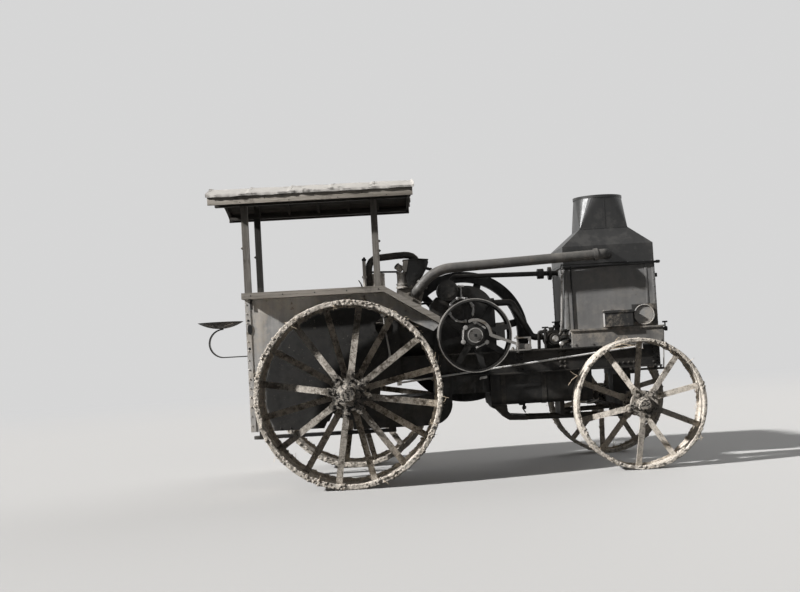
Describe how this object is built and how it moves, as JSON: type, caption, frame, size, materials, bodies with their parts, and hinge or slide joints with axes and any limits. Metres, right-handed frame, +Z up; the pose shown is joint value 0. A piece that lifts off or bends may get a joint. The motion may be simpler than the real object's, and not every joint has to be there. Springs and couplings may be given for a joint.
{
  "type": "two-cylinder kerosene farm tractor",
  "caption": "Heavy farm tractor with a horizontal oil-cooled engine, square cooling tower, open roofed cab, steel spoked wheels, side belt pulley and steered front axle.",
  "frame": {"origin": "on the ground, midway along the length, on the middle plane", "axes": "+X forward, +Y to the left side, +Z up"},
  "size_m": [4.568, 2.35, 2.7738],
  "materials": {
    "frame_paint": "oily worn dark paint",
    "sheet_paint": "faded dusty grey-green paint",
    "oily_iron": "oily black cast iron",
    "tower_paint": "weathered grey paint over sheet",
    "pipe_iron": "heat-dulled iron",
    "sill_wood": "weathered pale wood",
    "roof_wood": "weathered pale boards",
    "roofing": "pale weathered roofing over boards",
    "bright_steel": "worn bare steel",
    "muddy_iron": "dried pale mud over iron"
  },
  "bodies": {
    "chassis": {"frame_rails": "frame_paint", "cross_members": "frame_paint", "cab_floor": "frame_paint", "cab_sides": "sheet_paint", "cab_back": "sheet_paint", "cab_sills": "sill_wood", "roof_posts": "sill_wood", "roof_boards": "roof_wood", "roof_panel": "roofing", "seat_pan": "oily_iron", "seat_spring": "oily_iron", "drawbar": "frame_paint", "rear_axle": "oily_iron", "gear_case": "oily_iron", "crankcase": "oily_iron", "cylinder_block": "oily_iron", "cylinder_head": "oily_iron", "manifold_box": "pipe_iron", "carburettor": "oily_iron", "intake_pipe": "oily_iron", "exhaust_pipe": "pipe_iron", "tower_body": "tower_paint", "tower_cowl": "tower_paint", "tower_pan": "tower_paint", "tower_boxes": "pipe_iron", "coolant_pipes": "pipe_iron", "coolant_pump": "oily_iron", "fuel_tank": "frame_paint", "front_pedestal": "oily_iron", "front_axle": "oily_iron", "radius_rods": "oily_iron", "steering_shaft": "bright_steel", "steering_column": "oily_iron", "clutch_bracket": "bright_steel"},
    "crank": {"crankshaft": "bright_steel", "flywheel": "oily_iron", "belt_pulley": "pipe_iron"},
    "rear_wheel_right": {"rear_rim_right": "muddy_iron", "rear_hub_right": "muddy_iron"},
    "rear_wheel_left": {"rear_rim_left": "muddy_iron", "rear_hub_left": "muddy_iron"},
    "knuckle_right": {"knuckle_right": "oily_iron"},
    "knuckle_left": {"knuckle_left": "oily_iron"},
    "tie_rod": {"tie_rod": "oily_iron"},
    "front_wheel_right": {"front_rim_right": "muddy_iron", "front_hub_right": "muddy_iron"},
    "front_wheel_left": {"front_rim_left": "muddy_iron", "front_hub_left": "muddy_iron"}
  },
  "joints": [
    {"name": "crank_spin", "type": "hinge", "parent": "chassis", "child": "crank", "pos_m": [0.266, 0, 1.26], "axis": [0, 1, 0], "continuous": true},
    {"name": "rear_spin_right", "type": "hinge", "parent": "chassis", "child": "rear_wheel_right", "pos_m": [-0.864, -0.876, 0.813], "axis": [0, 1, 0], "continuous": true},
    {"name": "rear_spin_left", "type": "hinge", "parent": "chassis", "child": "rear_wheel_left", "pos_m": [-0.864, 0.876, 0.813], "axis": [0, 1, 0], "continuous": true},
    {"name": "steer_left", "type": "hinge", "parent": "chassis", "child": "knuckle_left", "pos_m": [1.706, 0.56, 0.578], "axis": [0, 0, 1], "range_deg": [-28, 28]},
    {"name": "steer_right", "type": "hinge", "parent": "chassis", "child": "knuckle_right", "pos_m": [1.706, -0.56, 0.578], "axis": [0, 0, 1], "range_deg": [-28, 28]},
    {"name": "tie_rod_swing", "type": "hinge", "parent": "knuckle_left", "child": "tie_rod", "pos_m": [1.506, 0.56, 0.56], "axis": [0, 0, 1], "range_deg": [-28, 28]},
    {"name": "front_spin_right", "type": "hinge", "parent": "knuckle_right", "child": "front_wheel_right", "pos_m": [1.706, -0.77, 0.578], "axis": [0, 1, 0], "continuous": true},
    {"name": "front_spin_left", "type": "hinge", "parent": "knuckle_left", "child": "front_wheel_left", "pos_m": [1.706, 0.77, 0.578], "axis": [0, 1, 0], "continuous": true}
  ],
  "couplings": [
    {"joint": "steer_right", "follows": "steer_left", "ratio": 1},
    {"joint": "tie_rod_swing", "follows": "steer_left", "ratio": -1}
  ]
}
